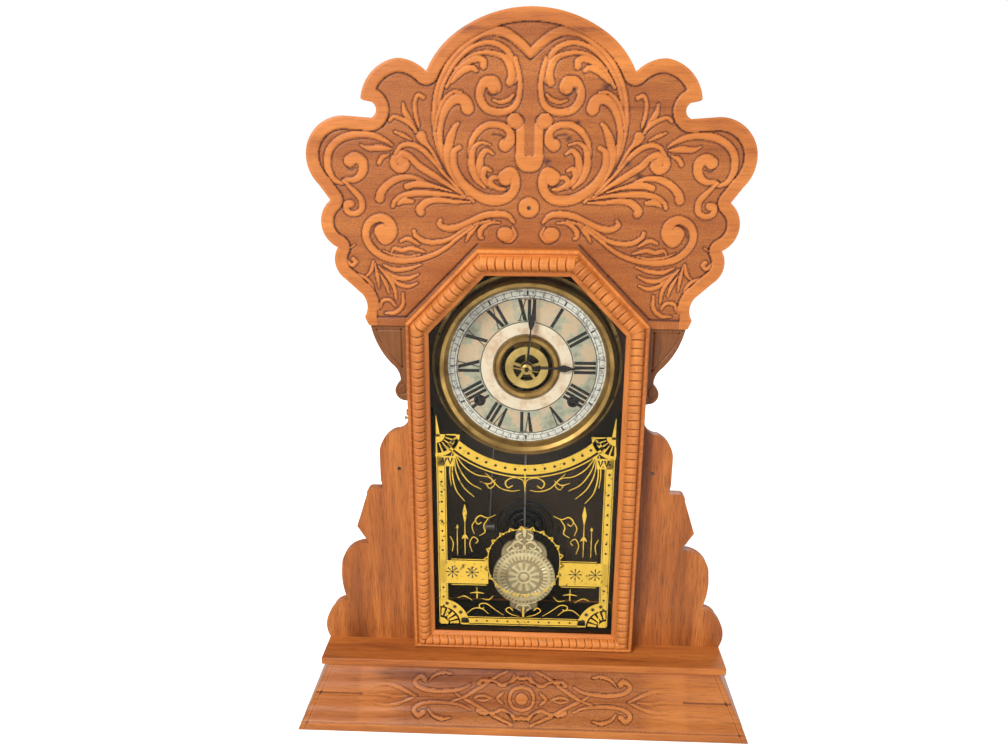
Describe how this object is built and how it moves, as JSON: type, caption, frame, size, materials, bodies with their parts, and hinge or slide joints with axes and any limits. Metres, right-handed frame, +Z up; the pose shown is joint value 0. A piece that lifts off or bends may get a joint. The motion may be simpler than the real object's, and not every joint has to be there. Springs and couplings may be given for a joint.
{
  "type": "gingerbread shelf clock",
  "caption": "Oak gingerbread shelf clock with a scroll-cut pressed crest, glazed ribbed door with a gold tablet, paper dial, pendulum movement and coil gong.",
  "frame": {"origin": "middle of the base's footprint, on the surface that the clock stands on", "axes": "+Z up, front of the clock towards -Y, +X to the viewer's right"},
  "size_m": [0.3792, 0.13, 0.572],
  "materials": {
    "oak_carved": "pressed oak under old varnish",
    "oak_moulding": "pressed oak moulding, worn varnish",
    "oak_plain": "plain oak, old varnish",
    "oak_door": "ribbed oak moulding, worn",
    "back_pine": "bare softwood, aged",
    "steel_nails": "dull iron",
    "steel": "bright drawn steel, tarnished",
    "blued_steel": "blued spring steel",
    "old_brass": "tarnished brass",
    "movement_brass": "rolled brass",
    "bob_brass": "pressed brass over a lead weight",
    "dial_paper": "printed paper on tinplate, yellowed",
    "hand_black": "blued steel gone black",
    "cast_black": "black japanned",
    "clear_glass": "old sheet glass with a stencilled tablet"
  },
  "bodies": {
    "case": {"base_front_moulding": "oak_moulding", "base_left_board": "oak_plain", "base_right_board": "oak_plain", "base_deck": "oak_moulding", "case_left_side": "oak_plain", "case_right_side": "oak_plain", "case_top_board": "oak_plain", "back_board": "back_pine", "crest_board": "oak_carved", "left_wing": "oak_carved", "right_wing": "oak_carved", "left_corbel": "oak_carved", "right_corbel": "oak_carved", "glue_blocks": "back_pine", "case_nails": "steel_nails", "dial_rails": "back_pine", "dial_pan": "dial_paper", "dial_bezel": "old_brass", "dial_inner_ring": "old_brass", "hinge_case_leaves": "old_brass", "brass_screws_case": "old_brass", "front_plate": "movement_brass", "back_plate": "movement_brass", "plate_pillars": "steel", "wood_screws": "steel", "suspension_post": "movement_brass", "gong_base": "cast_black", "gong_coil": "blued_steel", "mainsprings": "blued_steel"},
    "door": {"door_left_stile": "oak_door", "door_right_stile": "oak_door", "door_bottom_rail": "oak_door", "door_top_rail": "oak_door", "door_left_slope_rail": "oak_door", "door_right_slope_rail": "oak_door", "door_glass": "clear_glass", "glass_strips": "oak_plain", "hinge_door_leaves": "old_brass", "brass_screws_door": "old_brass"},
    "latch": {"latch_hook": "old_brass"},
    "minute": {"cannon_pinion": "movement_brass", "minute_hand": "hand_black", "hand_collet": "movement_brass", "hand_pin": "old_brass"},
    "hour": {"hour_wheel": "movement_brass", "hour_hand": "hand_black"},
    "minute_wheel": {"minute_wheel": "movement_brass"},
    "alarm": {"alarm_disc": "old_brass"},
    "escape": {"escape_wheel": "movement_brass"},
    "third": {"third_wheel": "movement_brass"},
    "centre": {"centre_arbor": "movement_brass"},
    "second": {"second_wheel": "movement_brass"},
    "time_great": {"time_great_wheel": "movement_brass"},
    "time_winding": {"time_winding_arbor": "steel"},
    "strike_great": {"strike_great_wheel": "movement_brass"},
    "strike_winding": {"strike_winding_arbor": "steel"},
    "pendulum": {"pendulum_rod": "steel", "pendulum_bob": "bob_brass"},
    "verge": {"verge": "steel"},
    "hammer": {"hammer": "steel"}
  },
  "joints": [
    {"name": "door_hinge", "type": "hinge", "parent": "case", "child": "door", "pos_m": [0.095, -0.0093, 0.2], "axis": [0, 0, 1], "range_deg": [0, 90]},
    {"name": "latch_pivot", "type": "hinge", "parent": "case", "child": "latch", "pos_m": [-0.0957, 0.001, 0.2665], "axis": [-1, 0, 0], "range_deg": [-15, 25]},
    {"name": "minute_turn", "type": "hinge", "parent": "case", "child": "minute", "pos_m": [0, 0.0064, 0.3015], "axis": [0, 1, 0], "continuous": true},
    {"name": "hour_turn", "type": "hinge", "parent": "case", "child": "hour", "pos_m": [0, 0.0096, 0.3015], "axis": [0, 1, 0], "continuous": true},
    {"name": "minute_wheel_turn", "type": "hinge", "parent": "case", "child": "minute_wheel", "pos_m": [0, 0.02, 0.3159], "axis": [0, 1, 0], "continuous": true},
    {"name": "alarm_turn", "type": "hinge", "parent": "hour", "child": "alarm", "pos_m": [0, 0.0118, 0.3015], "axis": [0, 1, 0], "continuous": true},
    {"name": "escape_turn", "type": "hinge", "parent": "case", "child": "escape", "pos_m": [0, 0.023, 0.264], "axis": [0, 1, 0], "continuous": true},
    {"name": "third_turn", "type": "hinge", "parent": "case", "child": "third", "pos_m": [-0.01108, 0.034, 0.28249], "axis": [0, 1, 0], "continuous": true},
    {"name": "centre_turn", "type": "hinge", "parent": "case", "child": "centre", "pos_m": [0, 0.0286, 0.3015], "axis": [0, 1, 0], "continuous": true},
    {"name": "second_turn", "type": "hinge", "parent": "case", "child": "second", "pos_m": [0.02215, 0.0316, 0.29609], "axis": [0, 1, 0], "continuous": true},
    {"name": "time_great_turn", "type": "hinge", "parent": "case", "child": "time_great", "pos_m": [0.039, 0.036, 0.272], "axis": [0, 1, 0], "continuous": true},
    {"name": "time_winding_turn", "type": "hinge", "parent": "time_great", "child": "time_winding", "pos_m": [0.039, 0.036, 0.272], "axis": [0, 1, 0], "continuous": true},
    {"name": "strike_great_turn", "type": "hinge", "parent": "case", "child": "strike_great", "pos_m": [-0.039, 0.036, 0.272], "axis": [0, 1, 0], "continuous": true},
    {"name": "strike_winding_turn", "type": "hinge", "parent": "strike_great", "child": "strike_winding", "pos_m": [-0.039, 0.036, 0.272], "axis": [0, 1, 0], "continuous": true},
    {"name": "pendulum_swing", "type": "hinge", "parent": "case", "child": "pendulum", "pos_m": [0, 0.02, 0.281], "axis": [0, 1, 0], "range_deg": [-4, 4]},
    {"name": "verge_rock", "type": "hinge", "parent": "case", "child": "verge", "pos_m": [0, 0.0229, 0.281], "axis": [0, 1, 0], "range_deg": [-4, 4]},
    {"name": "hammer_lift", "type": "hinge", "parent": "case", "child": "hammer", "pos_m": [-0.028, 0.048, 0.243], "axis": [0, 1, 0], "range_deg": [0, 12]}
  ],
  "couplings": [
    {"joint": "minute_wheel_turn", "follows": "minute_turn", "ratio": -0.33333},
    {"joint": "hour_turn", "follows": "minute_turn", "ratio": 0.083333},
    {"joint": "third_turn", "follows": "escape_turn", "ratio": -0.088889},
    {"joint": "centre_turn", "follows": "escape_turn", "ratio": 0.0098765},
    {"joint": "second_turn", "follows": "escape_turn", "ratio": -0.0019753},
    {"joint": "time_great_turn", "follows": "escape_turn", "ratio": 0.00032922},
    {"joint": "verge_rock", "follows": "pendulum_swing", "ratio": 1}
  ]
}
